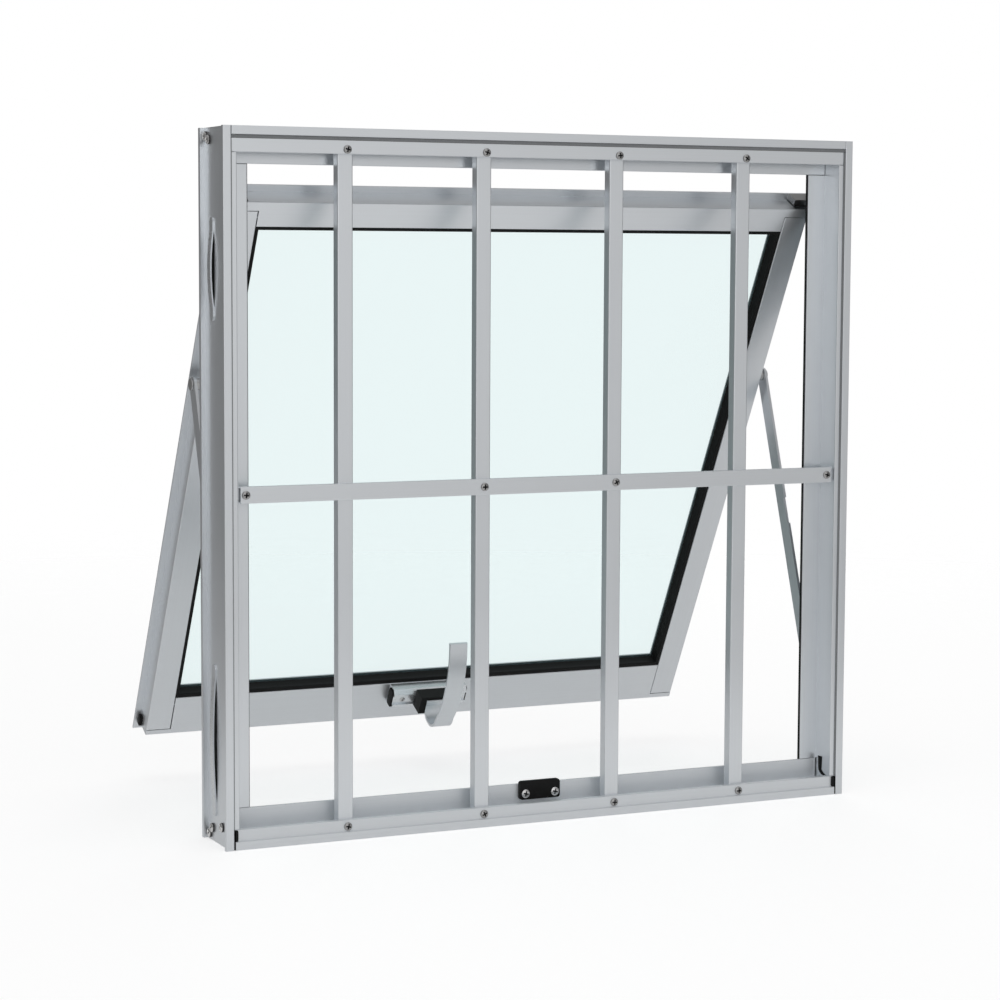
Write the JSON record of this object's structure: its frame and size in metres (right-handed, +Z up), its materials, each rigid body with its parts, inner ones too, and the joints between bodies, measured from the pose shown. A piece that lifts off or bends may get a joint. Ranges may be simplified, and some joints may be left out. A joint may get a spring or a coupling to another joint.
{
  "type": "top hung awning window",
  "caption": "Square aluminium awning window with a fixed bar grille on the room side, a glazed sash swung open on sliding stays, and a bent latch lever.",
  "frame": {"origin": "middle of the underside of the foot along the back of the sill, where the window stands in the wall opening", "axes": "+X along the window to the right seen from the room, +Y from the room to outdoors, +Z up"},
  "size_m": [0.6, 0.3191, 0.6],
  "materials": {
    "frame_aluminium": "satin",
    "grille_aluminium": "satin",
    "sash_aluminium": "satin",
    "latch_aluminium": "satin",
    "anchor_steel": "satin",
    "stay_steel": "satin",
    "pin_steel": "satin",
    "black_rubber": "matte",
    "black_plastic": "matte",
    "glass": "polished"
  },
  "bodies": {
    "frame": {"sill": "frame_aluminium", "head": "frame_aluminium", "left_jamb": "frame_aluminium", "right_jamb": "frame_aluminium", "stop_seal": "black_rubber", "grille_bar_1": "grille_aluminium", "grille_bar_2": "grille_aluminium", "grille_bar_3": "grille_aluminium", "grille_bar_4": "grille_aluminium", "cross_bar": "grille_aluminium", "left_cleat": "grille_aluminium", "right_cleat": "grille_aluminium", "left_lower_anchor": "anchor_steel", "right_lower_anchor": "anchor_steel", "left_upper_anchor": "anchor_steel", "right_upper_anchor": "anchor_steel", "keeper": "black_plastic", "left_jamb_pin": "pin_steel", "right_jamb_pin": "pin_steel"},
    "left_stay": {"left_stay": "stay_steel"},
    "right_stay": {"right_stay": "stay_steel"},
    "sash": {"top_rail": "sash_aluminium", "bottom_rail": "sash_aluminium", "left_stile": "sash_aluminium", "right_stile": "sash_aluminium", "glass": "glass", "inner_bead": "black_rubber", "outer_bead": "black_rubber", "left_corner_block": "black_plastic", "right_corner_block": "black_plastic", "left_sash_pin": "pin_steel", "right_sash_pin": "pin_steel", "latch_body": "latch_aluminium", "left_latch_cap": "black_plastic", "right_latch_cap": "black_plastic", "lever_hub": "black_plastic"},
    "lever": {"lever": "latch_aluminium"}
  },
  "joints": [
    {"name": "left_stay_swing", "type": "hinge", "parent": "frame", "child": "left_stay", "pos_m": [0, -0.01825, 0.1282], "axis": [-1, 0, 0], "range_deg": [-18.62, 2.42]},
    {"name": "right_stay_swing", "type": "hinge", "parent": "frame", "child": "right_stay", "pos_m": [0, -0.01825, 0.1282], "axis": [-1, 0, 0], "range_deg": [-18.62, 2.42]},
    {"name": "sash_swing", "type": "hinge", "parent": "left_stay", "child": "sash", "pos_m": [0, 0.06757, 0.38315], "axis": [1, 0, 0], "range_deg": [-46.4, 6]},
    {"name": "lever_lift", "type": "hinge", "parent": "sash", "child": "lever", "pos_m": [0, 0.19982, 0.06625], "axis": [-1, 0, 0], "range_deg": [0, 20]}
  ],
  "couplings": [
    {"joint": "left_stay_swing", "follows": "sash_swing", "ratio": 0.40091},
    {"joint": "right_stay_swing", "follows": "sash_swing", "ratio": 0.40091}
  ]
}
